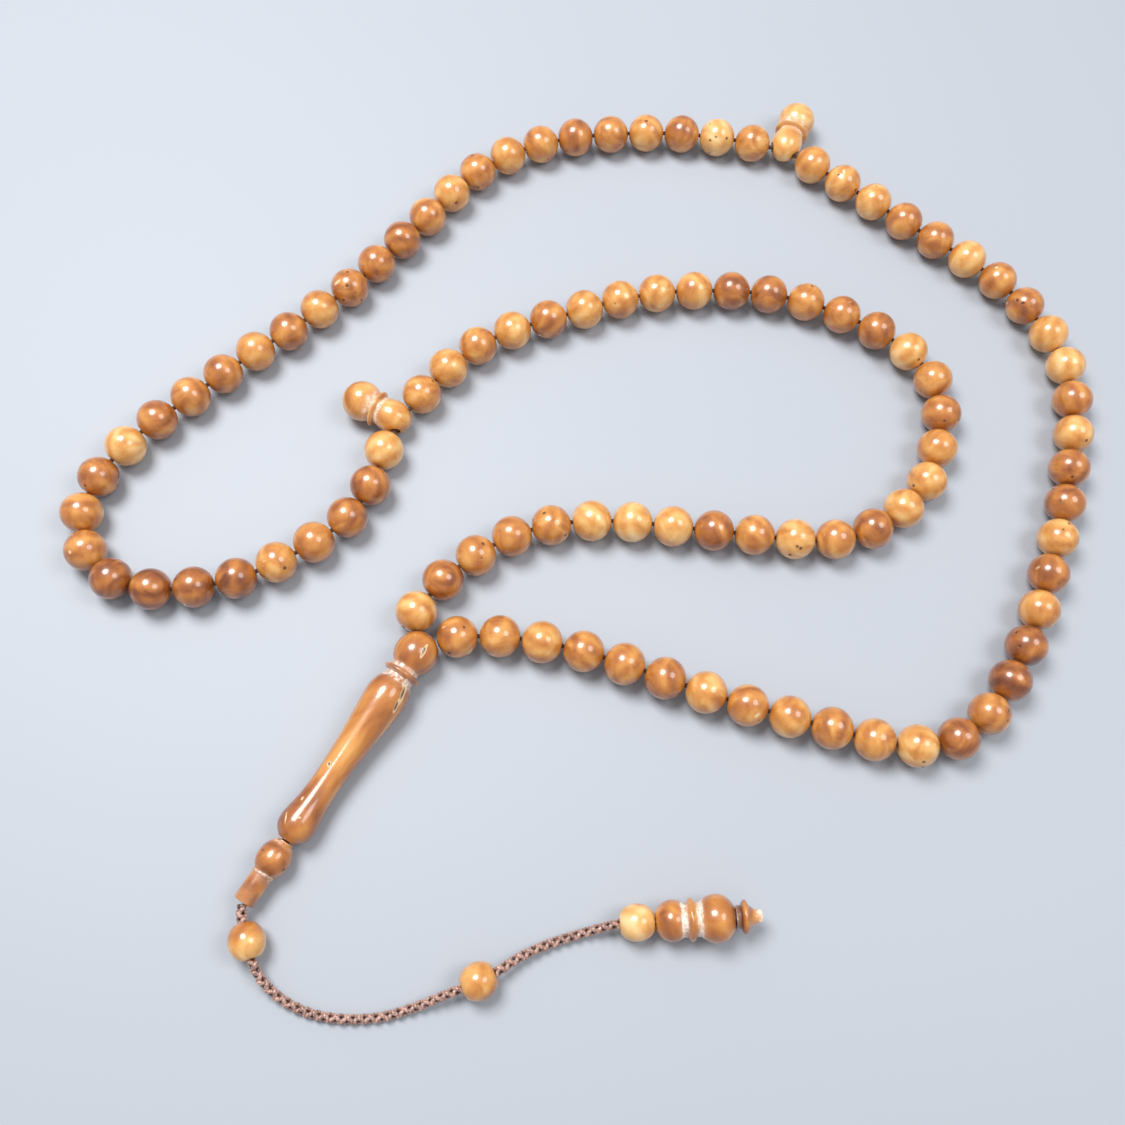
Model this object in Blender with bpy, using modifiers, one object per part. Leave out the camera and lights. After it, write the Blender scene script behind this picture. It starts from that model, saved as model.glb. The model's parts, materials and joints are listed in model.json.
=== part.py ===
# Misbaha: a closed loop of 99 turned beads in three runs of 33, two dividers, a leader that gathers the
# loop's cord, and a braided tail with three small beads and a finial. It lies flat, on z = 0.
# Sizes are in millimetres and become metres where a mesh, a curve or a matrix is made.
# +X runs to the right, and +Y away from the tail.

import math

import bpy
import numpy as np
from mathutils import Matrix, Vector

MM = 0.001
SEAT_GAP = 0.3  # between pieces that touch

# The loop's cord, which runs through beads, dividers and the sides of the leader's head.
CORD_DIAMETER = 1.0
CORD_ROOM = 0.6  # round the cord in its hole
CORD_HOLE = CORD_DIAMETER + 2 * CORD_ROOM

# The loop's beads.
BEAD_DIAMETER = 8.3
BEAD_LENGTH = 7.6
BEAD_RIM = 0.2  # flat round each mouth of the bore
BEAD_GAP = 0.6  # from one bead to the next
BEAD_PITCH = BEAD_LENGTH + BEAD_GAP
COLLAR_WALL = 0.7  # round the bore, where the beads of one node join

# How many beads each node holds: one where the string bends hard, more where it runs straight.
RUNS = (
    (2, 2, 3, 4, 1, 1, 1, 2, 3, 3, 2, 1, 2, 3, 3),
    (2, 2, 2, 2, 2, 3, 3, 4, 2, 1, 1, 1, 2, 2, 2, 2),
    (2, 2, 3, 2, 2, 2, 1, 1, 1, 2, 2, 2, 5, 2, 2, 2),
)

# The dividers. Places are measured from the cord's hole, along the stem.
EGG_DIAMETER = 6.9
EGG_PLACE = 2.3
EGG_POINT = 4.3  # from its widest place back to its point
EGG_NECK = 4.6  # how far its side would run the other way
DIVIDER_GROOVE = 5.9
DIVIDER_RING = 7.7
DIVIDER_RING_PLACE = 5.7
DIVIDER_RING_LENGTH = 1.7
DIVIDER_BALL = 8.3
DIVIDER_BALL_PLACE = 9.3
DIVIDER_GAP = 0.7  # from the egg to the bead beside it
DIVIDER_SIDES = (-90, 90)  # degrees from the cord's way to each stem: both stand outside the loop

# The two ends of the loop's cord, together inside the leader and knotted in its tip.
CORE_DIAMETER = 1.6
CORE_ROOM = 0.4
CORE_TOP = 0.7  # past the head's middle
CORE_END_RISE = 0.5  # over the tube's mouth
KNOT_DIAMETER = 2.2
KNOT_ROOM = 0.35
KNOT_LENGTH = 3.0
KNOT_RISE = 3.0  # from the tube's mouth up to its middle

# The leader. Places are measured from the middle of its head towards its foot.
HEAD_DIAMETER = 8.5
HEAD_TOP = 4.4
HEAD_HOLES = 34  # degrees from the leader's axis to each side hole
HEAD_HOLE_OVERRUN = 1.0
HEAD_GAP = 0.5  # from the head to the bead at each side
LEADER_GROOVE = 5.7
LEADER_RING = 7.5
LEADER_RING_PLACE = 4.7
LEADER_RING_LENGTH = 2.2
LEADER_BORE = CORE_DIAMETER + 2 * CORE_ROOM
LEADER_BORE_TOP = 1.3  # past the head's middle, where the side holes meet it
SHOULDER = (9.5, 4.1)  # place and radius, as for the rest of the vase's side
BULB = (37.8, 3.5)
VASE = (
    (6.0, 2.85), (7.4, 3.66), SHOULDER, (14.5, 3.68), (20.0, 3.14), (25.0, 2.84), (29.0, 2.72),
    (33.0, 2.92), (36.0, 3.36), BULB, (39.5, 3.12), (40.6, 2.15), (41.0, 1.7),
)  # fmt: skip

# The tip under the leader: a lip, a ball, a pale ridge and a tube. It hides the knot.
LIP_WALL = 0.45
LIP_LENGTH = 0.3
TIP_BALL = 6.2
TIP_BALL_PLACE = 3.8  # from the lip's top
TIP_BALL_TOP = 4.0
TIP_BALL_FOOT = 3.4
RIDGE_HEIGHT = 0.15
RIDGE_LENGTH = 0.6
TUBE_DIAMETER = 4.0
TUBE_LENGTH = 5.5  # under the ridge
TUBE_BORE = KNOT_DIAMETER + 2 * KNOT_ROOM
TUBE_BORE_LENGTH = 4.8

# The tail braid and the beads on it.
BRAID_DIAMETER = 1.9
BRAID_ROOM = 0.45
BRAID_HOLE = BRAID_DIAMETER + 2 * BRAID_ROOM
BRAID_STEP = 4.3  # between the tube's points
TAIL_BEAD_DIAMETER = 6.6
TAIL_BEAD_LENGTH = 6.1
TAIL_BEAD_RIM = 0.3

# The finial and its cap. Places are measured from the middle of the last tail bead.
BULB_1_DIAMETER = 7.3
BULB_1_PLACE = 6.3
BULB_1_REACH = 3.3
FINIAL_GROOVE = 6.0
FINIAL_RING = 7.6
FINIAL_RING_PLACE = 9.7
FINIAL_RING_LENGTH = 2.6
BULB_2_DIAMETER = 8.5
BULB_2_PLACE = 14.3
BULB_2_TOP = 4.3
BULB_2_FOOT = 3.5
FINIAL_FOOT = 4.4  # across
CAP_DIAMETER = 6.0
CAP_NECK = 4.2
CAP_NECK_LENGTH = 0.6
CAP_REACH = 1.0
CONE_LENGTH = 1.1
NIPPLE_DIAMETER = 2.5
NIPPLE_LENGTH = 1.2
END_KNOT = 2.5
END_KNOT_LENGTH = 1.5
END_KNOT_ROOM = 0.3

# Facets: round the axis, and down the side of one bead, ball or ring.
BEAD_STEPS = 10
PIECE_STEPS = 16
BEAD_ARC = 4
BALL_ARC = 6
RING_ARC = 4

# How it lies: the middle of the leader's head, and the loop's lay from there and back. The lay is only a
# shape, because its size follows from what is threaded on the cord.
HEAD_PLACE = (-30.31, -40.02)
LEADER_HEADING = -116.4
LOOP_LAY = (
    (0, 0), (7.4, 4.2), (15.5, 5.2), (31.6, 4), (55.5, -1.5), (79.5, -6), (95.8, -7.5), (104.2, -5),
    (110, 0.6), (117.5, 14.8), (124.8, 38), (129.3, 62), (128.7, 77.5), (125, 86), (114.5, 98), (94, 111),
    (73.2, 123.8), (67, 126.6), (60.6, 128), (44.4, 128.8), (28.2, 126.8), (12.2, 122.2), (-1.3, 113.2),
    (-15.3, 93.4), (-29.8, 73.5), (-47, 56.5), (-63, 38), (-67.3, 30.4), (-69.2, 22.3), (-67, 14.4),
    (-61.4, 9), (-53.4, 7.2), (-37.5, 10.8), (-23.4, 20), (-17.6, 26), (-14, 33.6), (-12.5, 41.6),
    (-10.1, 48.3), (-7, 54.7), (3.2, 67.8), (17.5, 76.2), (40.2, 85.5), (64.3, 88.2), (79.8, 85.2),
    (94, 78.2), (99.8, 71.5), (101.5, 63.2), (98.2, 47.2), (93.6, 41), (87, 35.6), (79, 32.4),
    (54.5, 31.6), (30.8, 31), (15.5, 26), (3.2, 15.4), (-1.1, 8.4), (0, 0),
)  # fmt: skip

# The braid's lay from the tube's mouth, with its height over the floor: through the first tail bead, down to
# the floor, up through the second, down again and up into the third, which the finial follows.
TAIL_LAY = (
    (-0.2, -0.5, 3.1), (0.1, -2.0, 3.2), (0.6, -3.6, 3.3), (1.9, -6.4, 3.3), (3.2, -9.3, 3.2),
    (5.6, -12.6, 2.2), (9.2, -15.2, 1.2), (14.0, -16.9, 1.0), (19.5, -17.4, 1.0), (26.5, -16.5, 1.0),
    (32.6, -14.2, 1.4), (37.2, -11.9, 2.7), (40.2, -10.4, 3.2), (43.0, -8.9, 3.3), (45.8, -7.2, 3.2),
    (49.5, -4.4, 2.2), (54.5, -1.6, 1.4), (60.0, 0.7, 1.5), (64.3, 2.3, 2.6), (66.8, 3.1, 3.1),
    (69.8, 3.6, 3.3),
)  # fmt: skip
TAIL_BEADS = (3, 13, 20)  # which of those points are the middles of the beads
FINIAL_HEADING = 8.4

WOOD = (0.42, 0.18, 0.06)
PALE_WOOD = (0.62, 0.38, 0.16)
THREAD = (0.12, 0.045, 0.03)


def clear_scene():
    for obj in list(bpy.data.objects):
        bpy.data.objects.remove(obj, do_unlink=True)


def collection(name):
    made = bpy.data.collections.new(name)
    bpy.context.scene.collection.children.link(made)
    return made


def finish(name, colour, roughness):
    material = bpy.data.materials.new(name)
    material.use_nodes = True
    shader = material.node_tree.nodes["Principled BSDF"]
    shader.inputs["Base Color"].default_value = (*colour, 1)
    shader.inputs["Roughness"].default_value = roughness
    shader.inputs["Metallic"].default_value = 0
    return material


# Routes and outlines.


def between(p, q, start, end, t):
    return p + (q - p) * ((t - start) / (end - start))


def smooth(points, per_span):
    """A centripetal Catmull-Rom curve through the points, with per_span steps from each to the next."""
    points = np.array(points, float)
    points = np.vstack([2 * points[0] - points[1], points, 2 * points[-1] - points[-2]])
    curve = []
    for i in range(1, len(points) - 2):
        a, b, c, d = points[i - 1 : i + 3]
        t = np.cumsum([0, *(math.sqrt(np.linalg.norm(q - p)) for p, q in ((a, b), (b, c), (c, d)))])
        for now in np.linspace(t[1], t[2], per_span, endpoint=False):
            ab = between(a, b, t[0], t[1], now)
            bc = between(b, c, t[1], t[2], now)
            cd = between(c, d, t[2], t[3], now)
            curve.append(
                between(between(ab, bc, t[0], t[2], now), between(bc, cd, t[1], t[3], now), t[1], t[2], now)
            )
    curve.append(points[-2])
    return np.array(curve)


class Lay:
    """A route as a dense line, read by the length along it."""

    def __init__(self, points):
        self.points = smooth(points, 24)
        steps = np.linalg.norm(np.diff(self.points, axis=0), axis=1)
        self.along = np.concatenate([[0], np.cumsum(steps)])
        self.length = self.along[-1]

    def at(self, length):
        return Vector([float(np.interp(length, self.along, axis)) for axis in self.points.T])


def ball(place, diameter, up, down, top, bottom, arc=BALL_ARC):
    """An oval's side as (radius, height) points, from where it is as wide as top to where it is as wide as
    bottom. It is widest at place, and reaches up over it and down under it."""
    radius = diameter / 2
    start = math.asin(top / diameter)
    end = math.pi - math.asin(bottom / diameter)
    points = []
    for turn in np.linspace(start, end, arc + 1):
        reach = up if math.cos(turn) > 0 else down
        points.append((radius * math.sin(turn), -place + reach * math.cos(turn)))
    return points


def ring(place, diameter, length, groove):
    return ball(place, diameter, length / 2, length / 2, groove, groove, RING_ARC)


def pierced(outline, bore):
    """The outline, brought back up a bore that runs through it."""
    return [*outline, (bore / 2, outline[-1][1]), (bore / 2, outline[0][1])]


# Solids.


def turned(name, outline, place, material, home, steps=PIECE_STEPS):
    """A piece turned about its own Z. Its outline runs down the outer side. One that starts off the axis
    comes back up its bore and closes on itself."""
    mesh = bpy.data.meshes.new(name)
    points = [(radius * MM, 0, height * MM) for radius, height in outline]
    edges = [(i, i + 1) for i in range(len(points) - 1)]
    if outline[0][0] > 0:
        edges.append((len(points) - 1, 0))
    mesh.from_pydata(points, edges, [])
    mesh.materials.append(material)
    obj = bpy.data.objects.new(name, mesh)
    obj.matrix_world = place
    home.objects.link(obj)
    screw = obj.modifiers.new("turn", "SCREW")
    screw.steps = screw.render_steps = steps
    screw.use_merge_vertices = True
    screw.merge_threshold = 0.00001
    screw.use_smooth_shade = True
    return obj


def bar(name, start, end, diameter, home):
    """A cylinder from start to end, in metres, that a Boolean takes away or adds."""
    way = end - start
    bpy.ops.mesh.primitive_cylinder_add(vertices=PIECE_STEPS, radius=diameter / 2 * MM, depth=way.length)
    obj = bpy.context.active_object
    obj.name = name
    turn = way.to_track_quat("Z", "Y").to_matrix().to_4x4()
    obj.matrix_world = Matrix.Translation((start + end) / 2) @ turn
    for other in list(obj.users_collection):
        other.objects.unlink(obj)
    home.objects.link(obj)
    obj.hide_render = True
    obj.display_type = "WIRE"
    return obj


def boolean(obj, tool, operation="DIFFERENCE"):
    modifier = obj.modifiers.new(tool.name, "BOOLEAN")
    modifier.operation = operation
    modifier.solver = "EXACT"
    modifier.object = tool


def cord(name, points, origin, diameter, material, home):
    """A tube through points, in metres, with its origin on the axis of the joint that carries it."""
    data = bpy.data.curves.new(name, "CURVE")
    data.dimensions = "3D"
    data.bevel_depth = diameter / 2 * MM
    data.bevel_resolution = 2
    data.use_fill_caps = True
    line = data.splines.new("POLY")
    line.points.add(len(points) - 1)
    for knot, point in zip(line.points, points, strict=True):
        knot.co = (*(point - origin), 1)
    data.materials.append(material)
    obj = bpy.data.objects.new(name, data)
    obj.location = origin
    home.objects.link(obj)
    return obj


def heading(degrees, rise=0.0):
    """A unit way in the plan, raised by rise, in radians."""
    angle = math.radians(degrees)
    return Vector((math.cos(rise) * math.cos(angle), math.cos(rise) * math.sin(angle), math.sin(rise)))


def lying(place, way):
    """A matrix whose Z is way and whose X points down, so that a facet's corner meets the floor."""
    z = way.normalized()
    x = (Vector((0, 0, -1)) + z * z.z).normalized()
    return Matrix.Translation(place) @ Matrix((x, z.cross(x), z)).transposed().to_4x4()


# The loop.


def bead_outline(count):
    """Beads in a row, joined by collars, with one bore through them all."""
    rim = CORD_HOLE + 2 * BEAD_RIM
    collar = CORD_HOLE + 2 * COLLAR_WALL
    reach = BEAD_LENGTH / 2 / math.sqrt(1 - (rim / BEAD_DIAMETER) ** 2)
    outline = []
    for i in range(count):
        place = BEAD_PITCH * (i - (count - 1) / 2)
        top = rim if i == 0 else collar
        bottom = rim if i == count - 1 else collar
        outline += ball(place, BEAD_DIAMETER, reach, reach, top, bottom, BEAD_ARC)
    return pierced(outline, CORD_HOLE)


def egg_side():
    """The egg's radius where the cord crosses it."""
    return EGG_DIAMETER / 2 * math.sqrt(1 - (EGG_PLACE / EGG_POINT) ** 2)


def thread_loop():
    """What is threaded on the loop, in order, as (name, beads, middle, way, half its length) in metres. A
    divider holds no beads."""
    at_leader = HEAD_DIAMETER / 2 + HEAD_GAP + BEAD_LENGTH / 2
    at_divider = egg_side() + DIVIDER_GAP + BEAD_LENGTH / 2
    rows = []
    reached = at_leader
    for number, run in enumerate(RUNS, 1):
        for group, count in enumerate(run, 1):
            last = reached + BEAD_PITCH * (count - 1)
            rows.append((f"run_{number}_beads_{group:02d}", count, reached, last))
            reached = last + BEAD_PITCH
        if number < len(RUNS):
            hole = last + at_divider
            rows.append((f"divider_{number}", 0, hole, hole))
            reached = hole + at_divider
    full_length = last + at_leader
    lay = Lay(LOOP_LAY)
    scale = full_length / lay.length

    def spot(length):
        flat = lay.at(length / scale) * scale
        return Vector((HEAD_PLACE[0] + flat.x, HEAD_PLACE[1] + flat.y, BEAD_DIAMETER / 2)) * MM

    threaded = []
    for name, count, first, last in rows:
        start, end = spot(first), spot(last)
        way = end - start if count > 1 else spot(first + 1) - spot(first - 1)
        half = (last - first) / 2 + BEAD_LENGTH / 2 if count else egg_side()
        threaded.append((name, count, (start + end) / 2, way.normalized(), half * MM))
    return threaded


def divider_outline():
    return [
        *ball(EGG_PLACE, EGG_DIAMETER, EGG_POINT, EGG_NECK, 0, DIVIDER_GROOVE),
        *ring(DIVIDER_RING_PLACE, DIVIDER_RING, DIVIDER_RING_LENGTH, DIVIDER_GROOVE),
        *ball(DIVIDER_BALL_PLACE, DIVIDER_BALL, DIVIDER_BALL / 2, DIVIDER_BALL / 2, DIVIDER_GROOVE, 0),
    ]


def make_divider(name, hole, way, side, wood, home, tools):
    stem = heading(math.degrees(math.atan2(way.y, way.x)) + side)
    obj = turned(name, divider_outline(), lying(hole, -stem), wood, home)
    reach = way * EGG_DIAMETER * MM
    boolean(obj, bar(f"{name}_hole", hole - reach, hole + reach, CORD_HOLE, tools))


def make_loop(wood, pale, thread, home, tools):
    threaded = thread_loop()
    sides = iter(DIVIDER_SIDES)
    for name, count, middle, way, _ in threaded:
        if count:
            turned(name, bead_outline(count), lying(middle, way), wood, home, BEAD_STEPS)
        else:
            make_divider(name, middle, way, next(sides), pale, home, tools)
    faces = [(middle - way * half, middle + way * half) for _, _, middle, way, half in threaded]
    between_faces = [(far + near) / 2 for (_, far), (near, _) in zip(faces, faces[1:], strict=False)]
    head, _ = leader_axis()
    route = [faces[0][0], *between_faces, faces[-1][1]]
    cord("loop_cord", route, head, CORD_DIAMETER, thread, home)


# The leader, its tip and the cord's ends inside them.


def leader_axis():
    """The middle of the head and the way to the foot: the vase lies on its shoulder and its bulb."""
    drop = (SHOULDER[1] - BULB[1]) / (BULB[0] - SHOULDER[0])
    height = SHOULDER[1] + SHOULDER[0] * drop
    return Vector((*HEAD_PLACE, height)) * MM, heading(LEADER_HEADING, -math.asin(drop))


def leader_outline():
    vase = [(radius, -place) for place, radius in VASE]
    bore = LEADER_BORE / 2
    return [
        *ball(0, HEAD_DIAMETER, HEAD_TOP, HEAD_TOP, 0, LEADER_GROOVE),
        *ring(LEADER_RING_PLACE, LEADER_RING, LEADER_RING_LENGTH, LEADER_GROOVE),
        *vase,
        (bore, vase[-1][1]),
        (bore, LEADER_BORE_TOP),
        (0, LEADER_BORE_TOP + bore / 2),
    ]


def tip_outline():
    """The tip from its lip's top, and its length."""
    lip = LEADER_BORE + 2 * LIP_WALL
    tip_ball = ball(TIP_BALL_PLACE, TIP_BALL, TIP_BALL_TOP, TIP_BALL_FOOT, lip, TUBE_DIAMETER)
    foot = tip_ball[-1][1]
    tube = TUBE_DIAMETER / 2
    mouth = foot - RIDGE_LENGTH - TUBE_LENGTH
    outline = [
        (lip / 2, tip_ball[0][1] + LIP_LENGTH),
        *tip_ball,
        (tube + RIDGE_HEIGHT, foot - RIDGE_LENGTH / 4),
        (tube + RIDGE_HEIGHT, foot - RIDGE_LENGTH * 3 / 4),
        (tube, foot - RIDGE_LENGTH),
        (tube, mouth),
        (TUBE_BORE / 2, mouth),
        (TUBE_BORE / 2, mouth + TUBE_BORE_LENGTH),
        (LEADER_BORE / 2, mouth + TUBE_BORE_LENGTH),
        (LEADER_BORE / 2, tip_ball[0][1] + LIP_LENGTH),
    ]
    return outline, outline[0][1] - mouth


def tip_place():
    """The tip's datum and the middle of its tube's mouth."""
    head, way = leader_axis()
    outline, length = tip_outline()
    lip_top = head + way * (VASE[-1][0] + SEAT_GAP) * MM
    return lip_top + way * outline[0][1] * MM, lip_top + way * length * MM


def make_leader(wood, thread, home, tools):
    head, way = leader_axis()
    leader = turned("leader", leader_outline(), lying(head, -way), wood, home)
    datum, mouth = tip_place()
    turned("leader_tip", tip_outline()[0], lying(datum, -way), wood, home)

    knot = (mouth - head).length / MM - KNOT_RISE
    end = (mouth - head).length / MM - CORE_END_RISE
    core = [
        (0, CORE_TOP),
        (CORE_DIAMETER / 2, CORE_TOP),
        *ball(knot, KNOT_DIAMETER, KNOT_LENGTH / 2, KNOT_LENGTH / 2, CORE_DIAMETER, CORE_DIAMETER, RING_ARC),
        (CORE_DIAMETER / 2, -end),
        (0, -end),
    ]
    core_cord = turned("core_cord", core, lying(head, -way), thread, home, BEAD_STEPS)
    for number, side in enumerate((-HEAD_HOLES, HEAD_HOLES), 1):
        out = heading(LEADER_HEADING + 180 + side)
        past = head + out * (HEAD_DIAMETER / 2 + HEAD_HOLE_OVERRUN) * MM
        boolean(leader, bar(f"head_hole_{number}", head, past, CORD_HOLE, tools))
        leg_end = head + out * (HEAD_DIAMETER / 2 - SEAT_GAP) * MM
        boolean(core_cord, bar(f"core_leg_{number}", head, leg_end, CORD_DIAMETER, tools), "UNION")


# The tail.


def tail_bead_outline():
    rim = BRAID_HOLE + 2 * TAIL_BEAD_RIM
    reach = TAIL_BEAD_LENGTH / 2 / math.sqrt(1 - (rim / TAIL_BEAD_DIAMETER) ** 2)
    return pierced(ball(0, TAIL_BEAD_DIAMETER, reach, reach, rim, rim), BRAID_HOLE)


def finial_axis(last_bead):
    """The finial's datum, over the last tail bead's place, and its way: it lies on its two bulbs."""
    rise = (BULB_2_DIAMETER - BULB_1_DIAMETER) / 2 / (BULB_2_PLACE - BULB_1_PLACE)
    height = BULB_1_DIAMETER / 2 - BULB_1_PLACE * rise
    return Vector((last_bead.x, last_bead.y, height * MM)), heading(FINIAL_HEADING, math.asin(rise))


def finial_outline():
    start = TAIL_BEAD_LENGTH / 2 + SEAT_GAP
    shoulder = BULB_1_DIAMETER * math.sqrt(1 - ((BULB_1_PLACE - start) / BULB_1_REACH) ** 2)
    outline = [
        *ball(BULB_1_PLACE, BULB_1_DIAMETER, BULB_1_REACH, BULB_1_REACH, shoulder, FINIAL_GROOVE),
        *ring(FINIAL_RING_PLACE, FINIAL_RING, FINIAL_RING_LENGTH, FINIAL_GROOVE),
        *ball(BULB_2_PLACE, BULB_2_DIAMETER, BULB_2_TOP, BULB_2_FOOT, FINIAL_GROOVE, FINIAL_FOOT),
    ]
    return pierced(outline, BRAID_HOLE)


def cap_outline():
    """The cap, from its inner face, with a blind chamber for the knot."""
    disc = ball(CAP_NECK_LENGTH + CAP_REACH, CAP_DIAMETER, CAP_REACH, CAP_REACH, CAP_NECK, CAP_NECK)
    cone_foot = disc[-1][1] - CONE_LENGTH
    chamber = END_KNOT / 2 + END_KNOT_ROOM
    depth = SEAT_GAP + END_KNOT_LENGTH + 2 * END_KNOT_ROOM
    return [
        (0, -depth),
        (chamber, -depth),
        (chamber, 0),
        (CAP_NECK / 2, 0),
        *disc,
        (NIPPLE_DIAMETER / 2, cone_foot),
        (NIPPLE_DIAMETER / 2, cone_foot - NIPPLE_LENGTH),
        (0, cone_foot - NIPPLE_LENGTH),
    ]


def make_tail(wood, pale, thread, home):
    _, mouth = tip_place()
    lay = [Vector((mouth.x + x * MM, mouth.y + y * MM, z * MM)) for x, y, z in TAIL_LAY]
    datum, way = finial_axis(lay[-1])
    finial = finial_outline()
    cap = cap_outline()
    cap_place = datum + way * (SEAT_GAP * MM - finial[-2][1] * MM)
    turned("finial", finial, lying(datum, -way), wood, home)
    turned("finial_cap", cap, lying(cap_place, -way), pale, home)

    depth = -cap[0][1]
    knot = ball(0, END_KNOT, END_KNOT_LENGTH / 2, END_KNOT_LENGTH / 2, 0, 0)
    turned("end_knot", knot, lying(cap_place + way * depth / 2 * MM, -way), thread, home, BEAD_STEPS)
    end = cap_place + way * ((depth - END_KNOT_LENGTH) / 2 - SEAT_GAP) * MM

    ways = [after - before for before, after in zip(lay, lay[2:] + [datum + way], strict=False)]
    for number, i in enumerate(TAIL_BEADS, 1):
        turned(f"tail_bead_{number}", tail_bead_outline(), lying(lay[i], ways[i - 1]), pale, home)
    run = Lay(lay)
    braid = [run.at(length) for length in np.linspace(0, run.length, round(run.length / BRAID_STEP / MM))]
    rest = (end - datum).length
    braid += [datum + way * length for length in np.linspace(0, rest, round(rest / BRAID_STEP / MM))[1:]]
    cord("tail_cord", braid, mouth, BRAID_DIAMETER, thread, home)


def main():
    clear_scene()
    home = collection("misbaha")
    tools = collection("boolean_tools")
    wood = finish("turned_wood", WOOD, 0.3)
    pale = finish("pale_turned_wood", PALE_WOOD, 0.35)
    thread = finish("plaited_thread", THREAD, 0.8)
    make_loop(wood, pale, thread, home, tools)
    make_leader(wood, thread, home, tools)
    make_tail(wood, pale, thread, home)


main()
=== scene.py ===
import json
import math
import random

import bmesh
import bpy
import numpy as np
from mathutils import Matrix, Vector


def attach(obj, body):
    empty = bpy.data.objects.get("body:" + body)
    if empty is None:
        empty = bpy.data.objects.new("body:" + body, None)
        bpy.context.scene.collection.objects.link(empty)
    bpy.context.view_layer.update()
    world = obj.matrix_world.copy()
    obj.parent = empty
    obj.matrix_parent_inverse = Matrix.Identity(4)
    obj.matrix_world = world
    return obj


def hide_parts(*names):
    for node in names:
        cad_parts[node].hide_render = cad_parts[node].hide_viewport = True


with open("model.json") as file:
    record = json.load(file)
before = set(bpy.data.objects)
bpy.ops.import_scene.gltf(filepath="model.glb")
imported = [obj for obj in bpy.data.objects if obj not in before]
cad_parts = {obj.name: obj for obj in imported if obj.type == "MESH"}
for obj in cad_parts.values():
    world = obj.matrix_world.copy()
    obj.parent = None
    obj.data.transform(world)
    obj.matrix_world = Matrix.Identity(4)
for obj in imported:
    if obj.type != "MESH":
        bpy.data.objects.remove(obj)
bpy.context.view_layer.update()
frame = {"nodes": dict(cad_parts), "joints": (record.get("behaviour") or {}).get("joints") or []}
print("frame loaded:", len(frame["nodes"]), "CAD nodes")

mm = 0.001
joints = {joint["name"]: joint for joint in frame["joints"]}


def linear(hexColour):  # sRGB hex to the linear colour that a shader takes
    parts = [int(hexColour[i : i + 2], 16) / 255 for i in (1, 3, 5)]
    return (*((c / 12.92 if c <= 0.04045 else ((c + 0.055) / 1.055) ** 2.4) for c in parts), 1)


def addNode(tree, kind, settings=None, **links):  # inputs are values or other nodes' outputs
    node = tree.nodes.new("ShaderNode" + kind)
    for key, value in (settings or {}).items():
        setattr(node, key, value)
    for key, value in links.items():
        byNumber = key[0] == "i" and key[1:].isdigit()
        socket = node.inputs[int(key[1:])] if byNumber else node.inputs[key.replace("_", " ")]
        if isinstance(value, bpy.types.NodeSocket):
            tree.links.new(value, socket)
        else:
            socket.default_value = value
    return node


def newMaterial(name):
    material = bpy.data.materials.new(name)
    material.use_nodes = True
    return material, material.node_tree, material.node_tree.nodes["Principled BSDF"]


def selectOnly(*objects):
    if bpy.context.mode != "OBJECT":
        bpy.ops.object.mode_set(mode="OBJECT")
    bpy.ops.object.select_all(action="DESELECT")
    for item in objects:
        item.select_set(True)
    bpy.context.view_layer.objects.active = objects[0]


def applyAll(piece):
    selectOnly(piece)
    for modifier in list(piece.modifiers):
        bpy.ops.object.modifier_apply(modifier=modifier.name)


# the joints' places and ways
headMiddle = Vector(joints["loop_swing"]["pos_m"])
tubeMouth = Vector(joints["leader_tip_turn"]["pos_m"])
leaderWay = Vector(joints["leader_tip_turn"]["axis"]).normalized()
finialStart = Vector(joints["finial_turn"]["pos_m"])
finialWay = Vector(joints["finial_turn"]["axis"]).normalized()
capStart = Vector(joints["finial_cap_turn"]["pos_m"])


# camera
camera = {"place": (-4.31, -95.13, 213.34), "tilt": 20.14, "roll": 6.04, "view": 53.0}  # mm, degrees

cameraData = bpy.data.cameras.new("camera")
cameraObject = bpy.data.objects.new("camera", cameraData)
bpy.context.scene.collection.objects.link(cameraObject)
cameraData.sensor_fit = "HORIZONTAL"
cameraData.angle = math.radians(camera["view"])
cameraData.clip_start = 0.01
cameraData.clip_end = 20
cameraObject.matrix_world = (
    Matrix.Translation(Vector(camera["place"]) * mm)
    @ Matrix.Rotation(math.radians(camera["tilt"]), 4, "X")
    @ Matrix.Rotation(math.radians(camera["roll"]), 4, "Z")
)
bpy.context.scene.camera = cameraObject
print("camera set")


# routes
def between(p, q, start, end, t):
    return p + (q - p) * ((t - start) / (end - start))


def smoothRoute(points, perSpan):  # centripetal Catmull-Rom
    points = np.array(points, float)
    points = np.vstack([2 * points[0] - points[1], points, 2 * points[-1] - points[-2]])
    curve = []
    for i in range(1, len(points) - 2):
        a, b, c, d = points[i - 1 : i + 3]
        t = np.cumsum([0, *(math.sqrt(np.linalg.norm(q - p)) for p, q in ((a, b), (b, c), (c, d)))])
        for now in np.linspace(t[1], t[2], perSpan, endpoint=False):
            ab, bc, cd = (between(p, q, t[k], t[k + 1], now) for k, (p, q) in enumerate(((a, b), (b, c), (c, d))))
            first, second = between(ab, bc, t[0], t[2], now), between(bc, cd, t[1], t[3], now)
            curve.append(between(first, second, t[1], t[2], now))
    curve.append(points[-2])
    return np.array(curve)


def evenRoute(points, step):  # the same route in equal steps
    steps = np.linalg.norm(np.diff(points, axis=0), axis=1)
    along = np.concatenate([[0], np.cumsum(steps)])
    count = max(2, round(along[-1] / step) + 1)
    marks = np.linspace(0, along[-1], count)
    return np.stack([np.interp(marks, along, axis) for axis in points.T], 1), marks


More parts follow.
